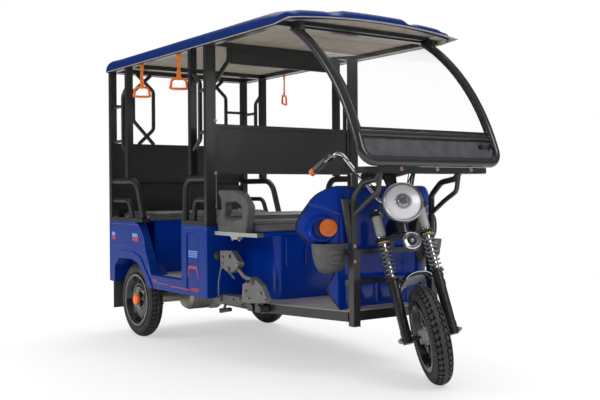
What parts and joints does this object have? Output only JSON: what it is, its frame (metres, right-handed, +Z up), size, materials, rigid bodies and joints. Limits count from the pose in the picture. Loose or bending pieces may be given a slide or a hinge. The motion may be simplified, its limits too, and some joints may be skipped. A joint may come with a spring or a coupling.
{
  "type": "auto rickshaw",
  "caption": "Battery-powered three-wheeled passenger rickshaw with an open cabin, facing benches, moulded roof, handlebar steering and a windscreen.",
  "frame": {"origin": "on the ground under the middle of the vehicle's length and width", "axes": "+X forward, +Y to the vehicle's left, +Z up"},
  "size_m": [2.7479, 1.1, 1.8219],
  "materials": {
    "blue_paint": "gloss enamel on pressed steel",
    "blue_moulding": "gel-coated moulding",
    "liner": "pale textured board",
    "black_frame": "semi-gloss black enamel on steel tube",
    "black_sheet": "satin black enamel on sheet",
    "chequer_plate": "worn grey enamel on sheet",
    "black_rail": "moulded cap and sleeved rail",
    "cushion": "stitched grey leathercloth",
    "grey_moulding": "grained moulding",
    "orange_lens": "orange lens",
    "red_lens": "red lens",
    "clear_screen": "clear sheet",
    "tyre": "ribbed rubber",
    "silver_rim": "machined hub in a painted rim",
    "black_rim": "black enamel",
    "chrome": "bright plate",
    "cast": "painted casting",
    "rubber": "moulded rubber sheet",
    "webbing": "woven strap with moulded handle",
    "battery_case": "moulded case"
  },
  "bodies": {
    "chassis": {"floor_frame": "black_frame", "floor_plate": "chequer_plate", "roof_shell": "blue_moulding", "roof_liner": "liner", "roof_frame": "black_frame", "right_side_panel": "blue_paint", "left_side_panel": "blue_paint", "bulkhead": "blue_paint", "tail_panel": "blue_paint", "right_posts": "black_frame", "left_posts": "black_frame", "rear_grille": "black_frame", "cabin_panels": "black_sheet", "right_handrails": "black_rail", "left_handrails": "black_rail", "seat_box": "blue_paint", "driver_cushion": "cushion", "armrests": "grey_moulding", "bench_bases": "blue_paint", "rear_cushion": "cushion", "front_cushion": "cushion", "cowl": "blue_moulding", "cowl_pockets": "grey_moulding", "turn_signals": "orange_lens", "front_guard": "black_frame", "windscreen_frame": "black_frame", "windscreen_glass": "clear_screen", "battery_pack": "battery_case", "rear_axle": "cast", "leaf_springs": "black_frame", "brake_controls": "black_frame", "grab_straps": "webbing", "mudflaps": "rubber", "tail_lamps": "red_lens"},
    "steering": {"fork": "black_frame", "fork_springs": "chrome", "handlebar": "black_frame", "headlight": "silver_rim", "horn": "chrome", "front_fender": "chrome"},
    "front_road_wheel": {"front_tyre": "tyre", "front_wheel": "silver_rim"},
    "right_road_wheel": {"right_tyre": "tyre", "right_wheel": "black_rim"},
    "left_road_wheel": {"left_tyre": "tyre", "left_wheel": "black_rim"}
  },
  "joints": [
    {"name": "steering", "type": "hinge", "parent": "chassis", "child": "steering", "pos_m": [1.174, 0, 0.23089], "axis": [-0.36, 0, 0.933], "range_deg": [-7.5, 68.5]},
    {"name": "front_wheel_spin", "type": "hinge", "parent": "steering", "child": "front_road_wheel", "pos_m": [1.174, 0, 0.23089], "axis": [0.4735, 0.8616, 0.1827], "continuous": true},
    {"name": "right_wheel_spin", "type": "hinge", "parent": "chassis", "child": "right_road_wheel", "pos_m": [-0.939, -0.4665, 0.234], "axis": [0, 1, 0], "continuous": true},
    {"name": "left_wheel_spin", "type": "hinge", "parent": "chassis", "child": "left_road_wheel", "pos_m": [-0.939, 0.4665, 0.234], "axis": [0, 1, 0], "continuous": true}
  ]
}
